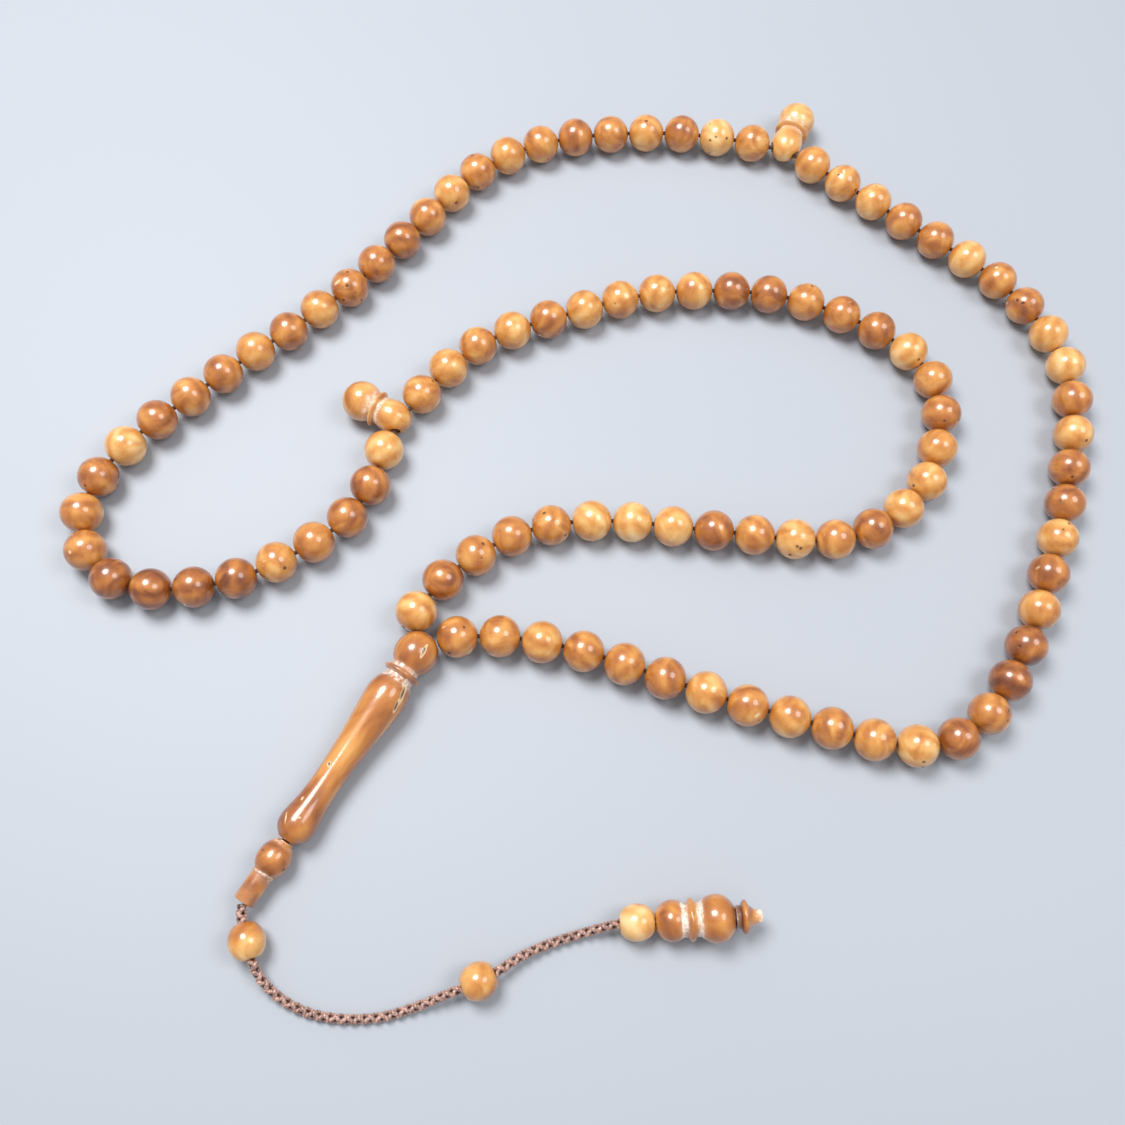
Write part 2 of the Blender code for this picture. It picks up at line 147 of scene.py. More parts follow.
def routeFrames(points):  # a steady pair of side ways at each point
    ways = np.gradient(points, axis=0)
    ways /= np.linalg.norm(ways, axis=1)[:, None]
    side = np.cross(ways[0], (0, 0, 1))
    side /= np.linalg.norm(side)
    sides = []
    for way in ways:
        side = side - way * (side @ way)
        side /= np.linalg.norm(side)
        sides.append(side)
    sides = np.array(sides)
    return ways, sides, np.cross(ways, sides)


def makeTube(name, points, radius, sides):  # a strand as a bevelled curve, then a mesh
    data = bpy.data.curves.new(name, "CURVE")
    data.dimensions = "3D"
    data.bevel_depth = radius
    data.bevel_resolution = sides
    data.use_fill_caps = True
    line = data.splines.new("POLY")
    line.points.add(len(points) - 1)
    for knot, point in zip(line.points, points):
        knot.co = (*point, 1)
    strand = bpy.data.objects.new(name, data)
    bpy.context.scene.collection.objects.link(strand)
    selectOnly(strand)
    bpy.ops.object.convert(target="MESH")
    return bpy.context.active_object


def markAlong(piece, route, marks):  # how far down the cord each point lies, and how far out from its middle, in mm
    places = np.array([vertex.co for vertex in piece.data.vertices])
    along = np.empty(len(places), np.float32)
    out = np.empty(len(places), np.float32)
    for i in range(0, len(places), 2000):
        gaps = np.linalg.norm(places[i : i + 2000, None] - route[None], axis=2)
        along[i : i + 2000] = marks[gaps.argmin(1)] * 1000
        out[i : i + 2000] = gaps.min(1) * 1000
    piece.data.attributes.new("along", "FLOAT", "POINT").data.foreach_set("value", along)
    piece.data.attributes.new("out", "FLOAT", "POINT").data.foreach_set("value", out)


def layStrands(name, route, step, spec):  # plaited or twisted strands round one route
    points, marks = evenRoute(route, step)
    ways, sides, ups = routeFrames(points)
    turn = 2 * math.pi * marks / (spec["pitch"] * mm)
    made = []
    for k in range(spec["strands"]):
        hand = 1 if not spec["plaited"] or k % 2 == 0 else -1
        angle = hand * turn + 2 * math.pi * k / spec["strands"]
        swell = spec["weave"] * np.sin(2 * turn) * hand if spec["plaited"] else 0
        looseness = np.exp(-(((marks / mm - spec["looseAt"]) / spec["looseLength"]) ** 2))
        loose = spec["loose"] * looseness * (1 + 0.4 * np.sin(3 * turn + k))
        radius = (spec["reach"] + swell + loose) * mm
        line = points + (np.cos(angle) * radius)[:, None] * sides + (np.sin(angle) * radius)[:, None] * ups
        made.append(makeTube(f"{name}Strand{k}", line, spec["strand"] / 2 * mm, spec["facets"]))
    selectOnly(*made)
    bpy.ops.object.join()
    piece = bpy.context.active_object
    piece.name = piece.data.name = name
    markAlong(piece, points, marks)
    bpy.ops.object.shade_smooth()
    return piece, points


# satin cord of twisted polyester yarn: each strand shows fine slanting yarns and a soft sheen, and painted shade
# darkens the creases where the strands meet
def makeCordMaterial(name, spec):
    material, tree, shader = newMaterial(name)
    place = addNode(tree, "TexCoord").outputs["Object"]
    along = addNode(tree, "Attribute", {"attribute_name": "along"}).outputs["Fac"]
    blotch = addNode(tree, "TexNoise", Vector=place, Scale=1000 / spec["blotch"], Detail=2.0)
    yarns = addNode(tree, "TexNoise", Vector=place, Scale=1000 / spec["yarn"], Detail=3.0, Roughness=0.6)
    mixed = addNode(tree, "Math", {"operation": "MULTIPLY_ADD"}, i0=yarns.outputs["Fac"], i1=0.7, i2=-0.1)
    total = addNode(tree, "Math", {"operation": "MULTIPLY_ADD"}, i0=blotch.outputs["Fac"], i1=0.5, i2=mixed.outputs[0])
    twist = addNode(tree, "Math", {"operation": "MULTIPLY"}, i0=along, i1=2 * math.pi / spec["twist"])
    stripe = addNode(tree, "Math", {"operation": "SINE"}, i0=twist.outputs[0])
    shaded = addNode(tree, "Math", {"operation": "MULTIPLY_ADD"}, i0=stripe.outputs[0], i1=0.08, i2=total.outputs[0])
    ramp = addNode(tree, "ValToRGB", Fac=shaded.outputs[0])
    ramp.color_ramp.elements[0].position = 0.25
    ramp.color_ramp.elements[0].color = linear(spec["dark"])
    ramp.color_ramp.elements[1].position = 0.75
    ramp.color_ramp.elements[1].color = linear(spec["light"])
    # painted shade: the colour darkens towards each strand's inner side, near the cord's middle, as shade in the
    # creases between the strands
    out = addNode(tree, "Attribute", {"attribute_name": "out"}).outputs["Fac"]
    deepest, surface = spec["paintedShadeSpan"]
    paintedShadeAmount = addNode(tree, "MapRange", Value=out, From_Min=deepest, From_Max=surface, To_Min=0.0, To_Max=1.0)
    shade = addNode(tree, "Mix", {"data_type": "RGBA"}, i0=paintedShadeAmount.outputs[0])
    shade.inputs[6].default_value = linear(spec["paintedShadeColour"])
    tree.links.new(ramp.outputs[0], shade.inputs[7])
    tree.links.new(shade.outputs[2], shader.inputs["Base Color"])
    bump = addNode(tree, "Bump", Strength=spec["bump"], Distance=0.0002, Height=yarns.outputs["Fac"])
    tree.links.new(bump.outputs[0], shader.inputs["Normal"])
    shader.inputs["Roughness"].default_value = spec["roughness"]
    shader.inputs["Sheen Weight"].default_value = spec["sheen"]
    shader.inputs["Sheen Roughness"].default_value = 0.4
    shader.inputs["Coat Weight"].default_value = spec["coat"]
    shader.inputs["Coat Roughness"].default_value = 0.22
    return material


# the tail braid: its route from the tube's mouth, as in the CAD
braid = {
    "route": (
        (-0.2, -0.5, 3.1), (0.1, -2.0, 3.2), (0.6, -3.6, 3.3), (1.9, -6.4, 3.3), (3.2, -9.3, 3.2),
        (5.6, -12.6, 2.2), (9.2, -15.2, 1.2), (14.0, -16.9, 1.0), (19.5, -17.4, 1.0), (26.5, -16.5, 1.0),
        (32.6, -14.2, 1.4), (37.2, -11.9, 2.7), (40.2, -10.4, 3.2), (43.0, -8.9, 3.3), (45.8, -7.2, 3.2),
        (49.5, -4.4, 2.2), (54.5, -1.6, 1.4), (60.0, 0.7, 1.5), (64.3, 2.3, 2.6), (66.8, 3.1, 3.1),
        (69.8, 3.6, 3.3),
    ),  # mm
    "diameter": 1.9,
    "lay": {"strands": 4, "plaited": True, "pitch": 4.0, "reach": 0.47, "weave": 0.15, "strand": 0.77, "facets": 3,
            "loose": 0.24, "looseAt": 3.0, "looseLength": 1.6},
    "finish": {
        "dark": "#452319", "light": "#D6A897", "yarn": 0.3, "blotch": 1.3, "twist": 0.6,
        "roughness": 0.34, "sheen": 0.2,
        # the dark crease colour and its span paint shade into the creases between the strands
        "bump": 0.22, "coat": 0.5, "paintedShadeColour": "#30170E", "paintedShadeSpan": (0.42, 0.8),
    },
}

braidMaterial = makeCordMaterial("plaitedSatinCord", braid["finish"])
braidRoute = [Vector((tubeMouth.x + x * mm, tubeMouth.y + y * mm, z * mm)) for x, y, z in braid["route"]]
capDepth = (finialStart - capStart).length
runOn = [finialStart + finialWay * s for s in (5 * mm, 10 * mm, 15 * mm, capDepth + 0.15 * mm)]
smoothBraid = smoothRoute([*braidRoute, *runOn], 12)
braidPiece, braidPath = layStrands("tailBraid", smoothBraid, 0.22 * mm, braid["lay"])
braidPiece.data.materials.append(braidMaterial)
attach(braidPiece, "tail")
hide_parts("tail_cord")
print("tail braid laid,", len(braidPiece.data.polygons), "faces")


# turned pieces
def deg(value):
    return math.radians(value)


def oval(place, diameter, up, down, top, bottom, steps=16):  # one ball's side, from its neck to its foot
    radius = diameter / 2
    start = math.asin(top / diameter)
    end = math.pi - math.asin(bottom / diameter)
    side = []
    for turn in np.linspace(start, end, steps + 1):
        reach = up if math.cos(turn) > 0 else down
        side.append((radius * math.sin(turn), -place + reach * math.cos(turn)))
    return side


def lyingAt(place, way):  # local Z along way, local X down
    z = way.normalized()
    x = (Vector((0, 0, -1)) + z * z.z).normalized()
    return Matrix.Translation(place) @ Matrix((x, z.cross(x), z)).transposed().to_4x4()


def turnOnLathe(name, profile, steps=64, bored=False):  # a profile drawn point by point, then spun
    bpy.ops.object.select_all(action="DESELECT")
    bpy.ops.mesh.primitive_plane_add(size=mm, location=(0, 0, 0))
    piece = bpy.context.active_object
    piece.name = piece.data.name = name
    bpy.ops.object.mode_set(mode="EDIT")
    bpy.ops.mesh.select_mode(type="VERT")
    bpy.ops.mesh.select_all(action="SELECT")
    bpy.ops.mesh.merge(type="CENTER")
    bpy.ops.transform.translate(value=(profile[0][0] * mm, 0, profile[0][1] * mm))
    if bored:
        profile = [*profile, profile[0]]
    for (r0, z0), (r1, z1) in zip(profile, profile[1:]):
        step = ((r1 - r0) * mm, 0, (z1 - z0) * mm)
        bpy.ops.mesh.extrude_vertices_move(TRANSFORM_OT_translate={"value": step})
    bpy.ops.mesh.select_all(action="SELECT")
    bpy.ops.mesh.remove_doubles(threshold=0.002 * mm)
    bpy.ops.mesh.select_all(action="SELECT")
    bpy.ops.mesh.spin(steps=steps, angle=2 * math.pi, center=(0, 0, 0), axis=(0, 0, 1))
    bpy.ops.mesh.select_all(action="SELECT")
    bpy.ops.mesh.remove_doubles(threshold=0.002 * mm)
    bpy.ops.mesh.normals_make_consistent(inside=False)
    bpy.ops.object.mode_set(mode="OBJECT")
    bpy.ops.object.shade_smooth_by_angle(angle=deg(40))
    return piece


def drillThrough(piece, start, way, length, diameter):  # a hole made by a round cutter
    bpy.ops.object.select_all(action="DESELECT")
    bpy.ops.mesh.primitive_cylinder_add(vertices=32, radius=diameter / 2, depth=length)
    cutter = bpy.context.active_object
    turned = way.to_track_quat("Z", "Y").to_matrix().to_4x4()
    cutter.matrix_world = Matrix.Translation(start + way * length / 2) @ turned
    hole = piece.modifiers.new("hole", "BOOLEAN")
    hole.operation = "DIFFERENCE"
    hole.solver = "EXACT"
    hole.object = cutter
    applyAll(piece)
    bpy.data.objects.remove(cutter, do_unlink=True)


# attributes for the wood: its own place in mm for the figure, its tone, and where raw dust sits
def markWood(piece, seed, tone, grooves=(), stretch=1.0, wear=0.0):  # tone is a value, or places and values
    rng = random.Random(seed)
    turn = Matrix.Rotation(rng.uniform(0, 6.28), 3, Vector([rng.gauss(0, 1) for _ in range(3)]).normalized())
    shift = np.array([rng.uniform(-400, 400) for _ in range(3)])
    places = np.array([vertex.co for vertex in piece.data.vertices]) * 1000
    turned = places @ np.array(turn).T * (1, 1, stretch) + shift
    attributes = piece.data.attributes
    attributes.new("figure", "FLOAT_VECTOR", "POINT").data.foreach_set("vector", turned.astype(np.float32).ravel())
    tones = np.interp(-places[:, 2], *zip(*tone)) if isinstance(tone, tuple) else np.full(len(places), tone)
    attributes.new("tone", "FLOAT", "POINT").data.foreach_set("value", tones.astype(np.float32))
    attributes.new("wear", "FLOAT", "POINT").data.foreach_set("value", np.full(len(places), wear, np.float32))
    dust = np.zeros(len(places), np.float32)
    for place, half, amount in grooves:
        dust = np.maximum(dust, amount * np.clip(1.6 - np.abs(places[:, 2] + place) / half, 0, 1))
    attributes.new("dust", "FLOAT", "POINT").data.foreach_set("value", dust.astype(np.float32))


def settle(piece, place, body, nodes, material):  # put in place with its place in its mesh
    piece.data.materials.clear()
    piece.data.materials.append(material)
    selectOnly(piece)
    piece.matrix_world = place
    bpy.ops.object.transform_apply(location=True, rotation=True, scale=True)
    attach(piece, body)
    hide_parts(*nodes)


# dense palm-nut wood, turned and polished with wax: swirling brown figure, small dark pits, pale chips, a
# wet gloss with a soft edge, and pale dust left in the turned grooves
def makeNutWood(name, spec, scars=()):
    material, tree, shader = newMaterial(name)
    figure = addNode(tree, "Attribute", {"attribute_name": "figure"}).outputs["Vector"]
    tone = addNode(tree, "Attribute", {"attribute_name": "tone"}).outputs["Fac"]
    dust = addNode(tree, "Attribute", {"attribute_name": "dust"}).outputs["Fac"]
    wear = addNode(tree, "Attribute", {"attribute_name": "wear"}).outputs["Fac"]

    def calc(operation, a, b=0.0, c=0.0):
        return addNode(tree, "Math", {"operation": operation}, i0=a, i1=b, i2=c).outputs[0]

    def fade(value, start, end):
        step = addNode(tree, "MapRange", Value=value, From_Min=start, From_Max=end, To_Min=0.0, To_Max=1.0)
        return step.outputs[0]

    flow = addNode(tree, "TexNoise", Vector=figure, Scale=1 / spec["flow"], Detail=3.0, Roughness=0.5, Distortion=1.4)
    bands = addNode(
        tree, "TexWave", {"wave_type": "BANDS", "bands_direction": "DIAGONAL"},
        Vector=figure, Scale=0.31 / spec["bands"], Distortion=7.0, Detail=3.0, Detail_Scale=0.35, Detail_Roughness=0.6)
    long = addNode(tree, "Mapping", {"vector_type": "TEXTURE"}, Vector=figure, Scale=(1, 1, 6))
    fibres = addNode(tree, "TexNoise", Vector=long.outputs[0], Scale=1 / spec["fibre"], Detail=3.0, Roughness=0.7)

    mix = calc("MULTIPLY_ADD", calc("SUBTRACT", flow.outputs["Fac"], 0.5), spec["flowDepth"], tone)
    mix = calc("MULTIPLY_ADD", calc("SUBTRACT", bands.outputs["Fac"], 0.5), spec["bandDepth"], mix)
    mix = calc("MULTIPLY_ADD", calc("SUBTRACT", fibres.outputs["Fac"], 0.5), 0.16, mix)
    ramp = addNode(tree, "ValToRGB", Fac=mix)
    stops = ramp.color_ramp.elements
    while len(stops) < len(spec["colours"]):
        stops.new(0.5)
    for i, colour in enumerate(spec["colours"]):
        stops[i].position = i / (len(spec["colours"]) - 1)
        stops[i].color = linear(colour)

    # pits are dark and sunk, chips pale and rough, both only where a slow noise lets them be
    cells = addNode(tree, "TexVoronoi", Vector=figure, Scale=1 / spec["pitSpacing"], Randomness=1.0)
    region = addNode(tree, "TexNoise", Vector=figure, Scale=1 / 9.0, Detail=1.0)
    allowed = calc("GREATER_THAN", calc("MULTIPLY_ADD", wear, 0.3, region.outputs["Fac"]), 0.7)
    pit = calc("MULTIPLY", fade(cells.outputs["Distance"], 0.17, 0.1), allowed)
    turned = addNode(tree, "Mapping", Vector=figure, Location=(31, 7, 12), Rotation=(0.6, 0.3, 0.9), Scale=(1, 0.4, 1))
    flecks = addNode(tree, "TexVoronoi", Vector=turned.outputs[0], Scale=1 / spec["chipSpacing"], Randomness=1.0)
    elsewhere = calc("LESS_THAN", calc("MULTIPLY_ADD", wear, -0.3, region.outputs["Fac"]), 0.26)
    chip = calc("MULTIPLY", fade(flecks.outputs["Distance"], 0.14, 0.08), elsewhere)
    place = addNode(tree, "TexCoord").outputs["Object"]
    ragged = addNode(tree, "TexNoise", Vector=place, Scale=1400.0, Detail=2.0)
    for centre, heading, size, sunk in scars:  # slits and chips, each at its own place
        near = addNode(
            tree, "Mapping", {"vector_type": "TEXTURE"}, Vector=place, Location=centre, Rotation=(0, 0, heading),
            Scale=[side / 2 * mm for side in (*size, 2.4)])
        gap = addNode(tree, "VectorMath", {"operation": "LENGTH"}, i0=near.outputs[0]).outputs["Value"]
        gap = calc("MULTIPLY_ADD", calc("SUBTRACT", ragged.outputs["Fac"], 0.5), 0.9, gap)
        if sunk:
            pit = calc("MAXIMUM", pit, fade(gap, 0.8, 0.5))
        chip = calc("MAXIMUM", chip, fade(gap, 1.2, 0.95))

    grit = addNode(tree, "TexNoise", Vector=figure, Scale=1 / 0.35, Detail=4.0, Roughness=0.75)
    smear = addNode(tree, "TexNoise", Vector=figure, Scale=1 / 1.4, Detail=2.0)
    grains = calc("MULTIPLY_ADD", smear.outputs["Fac"], 0.7, calc("MULTIPLY", grit.outputs["Fac"], 0.8))
    dusty = fade(calc("ADD", grains, calc("SUBTRACT", dust, 1.25)), 0.12, 0.42)
    film = calc("MULTIPLY", calc("MULTIPLY", dust, smear.outputs["Fac"]), 0.75)

    colour = ramp.outputs[0]
    layers = (
        (chip, spec["chip"], 0.75), (pit, spec["pit"], 0.85),
        (film, spec["film"], 1.0), (dusty, spec["dust"], 0.85),
    )
    for mask, shade, amount in layers:
        blend = addNode(tree, "Mix", {"data_type": "RGBA"}, i0=calc("MULTIPLY", mask, amount))
        tree.links.new(colour, blend.inputs[6])
        blend.inputs[7].default_value = linear(shade)
        colour = blend.outputs[2]
    tree.links.new(colour, shader.inputs["Base Color"])

    rough = calc("MULTIPLY_ADD", fibres.outputs["Fac"], 0.12, spec["roughness"] - 0.06)
    rough = calc("MULTIPLY_ADD", calc("MAXIMUM", dusty, calc("MAXIMUM", chip, pit)), 0.5, rough)
    tree.links.new(rough, shader.inputs["Roughness"])
    height = calc("MULTIPLY_ADD", pit, -1.0, calc("MULTIPLY", fibres.outputs["Fac"], 0.06))
    height = calc("MULTIPLY_ADD", chip, -0.5, height)
    height = calc("MULTIPLY_ADD", calc("MULTIPLY", dusty, grit.outputs["Fac"]), 0.5, height)
    bump = addNode(tree, "Bump", Strength=0.5, Distance=0.00025, Height=height)
    tree.links.new(bump.outputs[0], shader.inputs["Normal"])
    shader.inputs["IOR"].default_value = 1.52
    shader.inputs["Coat Weight"].default_value = spec["coat"]
    shader.inputs["Coat Roughness"].default_value = spec["coatRoughness"]
    return material


wood = {
    "flow": 5.5,  # mm, the swirls
    "flowDepth": 0.85,
    "bands": 2.6,  # mm between figure lines
    "bandDepth": 0.16,
    "fibre": 0.5,
    "pitSpacing": 2.6,
    "chipSpacing": 3.4,
    "colours": ("#5F2C0E", "#8C4C1C", "#B36D2D", "#CF8E44", "#E2AF69", "#F0CD95"),
    "chip": "#EBCFA4",
    "pit": "#45200D",
    "dust": "#F1E6DA",
    "film": "#E6BE9E",
    "roughness": 0.34,
    "coat": 0.85,
    "coatRoughness": 0.1,
}
nutWood = makeNutWood("polishedPalmNut", wood)

# the leader's own scars: how far along and aside, the radius there, the turn, the size, and whether they are sunk
scars = [
    (-0.5, 1.8, 4.2, 8, (2.9, 0.7), True),
    (8.0, 2.9, 4.0, 14, (4.6, 0.65), True),
    (10.8, 3.2, 4.0, 10, (3.2, 0.45), True),
    (6.4, 2.3, 3.2, -20, (1.6, 0.4), False),
    (26.0, -0.95, 2.8, 30, (1.1, 0.8), True),
    (33.6, -1.4, 3.0, 0, (1.0, 0.5), False),
    (37.6, -1.9, 3.5, 30, (2.6, 0.35), False),
    (36.6, 0.3, 3.4, -60, (0.8, 0.4), False),
]  # mm, degrees
acrossLeader = leaderWay.cross(Vector((0, 0, 1)))
leaderHeading = math.atan2(leaderWay.y, leaderWay.x)
scarPlaces = []
for along, aside, radius, turned, size, sunk in scars:
    centre = headMiddle + (leaderWay * along - acrossLeader * aside) * mm
    top = headMiddle.z + math.sqrt(radius**2 - aside**2) * mm
    scarPlaces.append(((*centre.xy, top), leaderHeading + math.radians(turned), size, sunk))
leaderWood = makeNutWood("scarredPalmNut", wood, scarPlaces)

print("wood and cord materials made")


# the loop's beads: one bead modelled, then a copy for each
beads = {
    "diameter": 8.3,
    "length": 7.6,
    "bore": 2.2,
    "rim": 0.2,
    "pitch": 8.2,
    "runs": (
        (2, 2, 3, 4, 1, 1, 1, 2, 3, 3, 2, 1, 2, 3, 3),
        (2, 2, 2, 2, 2, 3, 3, 4, 2, 1, 1, 1, 2, 2, 2, 2),
        (2, 2, 3, 2, 2, 2, 1, 1, 1, 2, 2, 2, 5, 2, 2, 2),
    ),
    "tone": 0.5,  # 0 is the darkest wood, 1 the palest
    "toneSpread": 0.09,
    "woods": {  # which beads of the string are turned from paler or darker nuts than the rest
        "pale": (0.71, (23, 24, 27, 34, 53, 65, 80, 88, 91, 92, 93)),
        "light": (0.62, (11, 18, 21, 30, 31, 36, 40, 42, 67, 69, 71, 73, 74, 84, 85, 98)),
        "brown": (0.36, (17, 19, 20, 44, 45, 48, 52, 54, 63, 64, 70, 75, 76, 79, 82, 86, 90, 97)),
        "dark": (0.24, (12, 14, 15, 57, 58, 59, 60)),
    },
    "worn": (0, 7, 11, 25, 31, 34, 37, 46, 54, 61, 70, 77, 84, 88, 91, 94),
}


def makeBead(name, spec, segments=36, rings=22):
    rim = spec["bore"] / 2 + spec["rim"]
    reach = spec["length"] / 2 / math.sqrt(1 - (2 * rim / spec["diameter"]) ** 2)
    bpy.ops.object.select_all(action="DESELECT")
    bpy.ops.mesh.primitive_uv_sphere_add(segments=segments, ring_count=rings, radius=spec["diameter"] / 2 * mm)
    bead = bpy.context.active_object
    bead.name = name
    bpy.ops.object.mode_set(mode="EDIT")
    bpy.ops.mesh.select_all(action="SELECT")
    bpy.ops.transform.resize(value=(1, 1, 2 * reach / spec["diameter"]), center_override=(0, 0, 0))
    half = spec["length"] / 2 * mm
    for end in (1, -1):  # cut each end flat
        bpy.ops.mesh.select_all(action="SELECT")
        bpy.ops.mesh.bisect(plane_co=(0, 0, end * half), plane_no=(0, 0, end), clear_outer=True, use_fill=True)
    bpy.ops.mesh.select_mode(type="FACE")
    for action in ("inset", "open"):  # the bore's mouths inside the flats, then the bore between them
        bpy.ops.mesh.select_all(action="DESELECT")
        mesh = bmesh.from_edit_mesh(bead.data)
        for face in mesh.faces:
            middle = face.calc_center_median()
            face.select_set(abs(abs(middle.z) - half) < 0.01 * mm and middle.xy.length < 0.1 * mm)
        bmesh.update_edit_mesh(bead.data)
        if action == "inset":
            bpy.ops.mesh.inset(thickness=spec["rim"] * mm, use_individual=True)
        else:
            bpy.ops.mesh.delete(type="ONLY_FACE")
    bpy.ops.mesh.select_mode(type="EDGE")
    bpy.ops.mesh.select_all(action="DESELECT")
    bpy.ops.mesh.select_non_manifold()
    bpy.ops.mesh.bridge_edge_loops()
    bpy.ops.mesh.select_all(action="SELECT")
    bpy.ops.mesh.normals_make_consistent(inside=False)
    bpy.ops.object.mode_set(mode="OBJECT")
    bpy.ops.object.shade_smooth_by_angle(angle=deg(40))
    return bead


firstBead = makeBead("loopBead", beads)
beadPlaces = []
number = 0
for runNumber, run in enumerate(beads["runs"], 1):
    for group, count in enumerate(run, 1):
        node = f"run_{runNumber}_beads_{group:02d}"
        joint = joints[f"{node}_turn"]
        middle, way = Vector(joint["pos_m"]), Vector(joint["axis"]).normalized()
        for i in range(count):
            place = middle + way * beads["pitch"] * (i - (count - 1) / 2) * mm
            rng = random.Random(700 + number)
            bead = firstBead.copy()
            bead.data = firstBead.data.copy()
            bead.name = f"loop_bead_{number + 1:02d}"
            bead.data.name = bead.name
            bpy.context.scene.collection.objects.link(bead)
            girth = rng.uniform(0.97, 1.0)
            bead.data.transform(Matrix.Diagonal((girth, girth, 1, 1)))
            tone = beads["tone"] + rng.uniform(-1, 1) * beads["toneSpread"]
            tone = next((shade for shade, members in beads["woods"].values() if number in members), tone)
            wear = 1.0 if number in beads["worn"] else rng.uniform(0, 0.35)
            markWood(bead, 1700 + number, tone, wear=wear)
            roll = Matrix.Rotation(rng.uniform(0, 6.28), 4, "Z")
            settle(bead, lyingAt(place, way) @ roll, node, [node], nutWood)
            beadPlaces.append(place)
            number += 1
    if runNumber < len(beads["runs"]):
        beadPlaces.append(Vector(joints[f"divider_{runNumber}_turn"]["pos_m"]))
bpy.data.objects.remove(firstBead, do_unlink=True)
print(number, "loop beads strung")


# the loop's cord: thin twisted twine through everything, seen only between the beads
loopTwine = {
    "lay": {"strands": 3, "plaited": False, "pitch": 1.7, "reach": 0.23, "weave": 0, "strand": 0.5, "facets": 1,
            "loose": 0, "looseAt": 0, "looseLength": 1},
    "finish": {
        "dark": "#2A1810", "light": "#6E4636", "yarn": 0.15, "blotch": 1.2, "twist": 0.5,
        "roughness": 0.7, "sheen": 0.2,
        # the dark crease colour and its span paint shade into the creases between the twine's strands
        "bump": 0.5, "coat": 0.0, "paintedShadeColour": "#1A0E09", "paintedShadeSpan": (0.25, 0.45),
    },
}

twineMaterial = makeCordMaterial("twistedWaxedTwine", loopTwine["finish"])
firstWay = (beadPlaces[0] - beadPlaces[1]).normalized()
lastWay = (beadPlaces[-1] - beadPlaces[-2]).normalized()
reach = (beads["length"] / 2) * mm
twineRoute = [beadPlaces[0] + firstWay * reach, *beadPlaces, beadPlaces[-1] + lastWay * reach]
twinePiece, _ = layStrands("loopTwine", smoothRoute(twineRoute, 8), 0.28 * mm, loopTwine["lay"])
twinePiece.data.materials.append(twineMaterial)
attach(twinePiece, "loop")
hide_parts("loop_cord")
for node in ("core_cord", "end_knot"):
    frame["nodes"][node].data.materials.clear()
    frame["nodes"][node].data.materials.append(twineMaterial if node == "core_cord" else braidMaterial)
print("loop twine laid,", len(twinePiece.data.polygons), "faces")


# the dividers: an egg that the cord crosses, a thin ring and a ball, turned in one piece
divider = {
    "egg": (2.3, 6.9, 4.3, 4.6), "groove": 5.9, "ring": (5.7, 7.7, 0.85), "ball": (9.3, 8.3), "hole": 2.2,
    "tones": (0.72, 0.6), "sides": (-90, 90), "grooves": ((4.65, 0.7, 0.72), (6.7, 1.0, 0.7)),
}

for i, (tone, side) in enumerate(zip(divider["tones"], divider["sides"]), 1):
    eggPlace, eggWide, eggUp, eggNeck = divider["egg"]
    ringPlace, ringWide, ringHalf = divider["ring"]
    profile = [
        *oval(eggPlace, eggWide, eggUp, eggNeck, 0, divider["groove"], 20),
        *oval(ringPlace, ringWide, ringHalf, ringHalf, divider["groove"], divider["groove"], 10),
        *oval(divider["ball"][0], divider["ball"][1], 4.15, 4.15, divider["groove"], 0, 20),
    ]
    joint = joints[f"divider_{i}_turn"]
    hole, way = Vector(joint["pos_m"]), Vector(joint["axis"]).normalized()
    stem = Matrix.Rotation(deg(side), 3, "Z") @ way
    stem.z = 0
    place = lyingAt(hole, -stem.normalized())
    piece = turnOnLathe(f"divider_bead_{i}", profile)
    across = (place.inverted().to_3x3() @ way).normalized()
    drillThrough(piece, -across * 5 * mm, across, 10 * mm, divider["hole"] * mm)
    markWood(piece, 310 + i, tone, divider["grooves"])
    settle(piece, place, f"divider_{i}", [f"divider_{i}"], nutWood)
print("dividers turned")


# the leader: a round head with two side holes, a thin ring, and a long waisted vase
leader = {
    "head": (8.5, 4.4), "groove": 5.7, "ring": (4.7, 7.5, 1.1),
    "vase": (
        (6.0, 2.85), (6.6, 3.25), (7.4, 3.66), (9.5, 4.1), (14.5, 3.68), (20.0, 3.14), (25.0, 2.84), (29.0, 2.72),
        (33.0, 2.92), (36.0, 3.36), (37.8, 3.5), (39.5, 3.12), (40.6, 2.15), (41.0, 1.7),
    ),  # place and radius, mm
    "bore": 2.4, "boreTop": 1.3, "sideHoles": 34, "sideHole": 2.2,
    "tone": ((-4, 0.4), (0, 0.36), (5, 0.3), (9, 0.34), (14, 0.48), (22, 0.56), (28, 0.42), (34, 0.26), (41, 0.28)),
    "grooves": ((3.75, 0.65, 0.76), (6.0, 1.0, 0.75)),
}

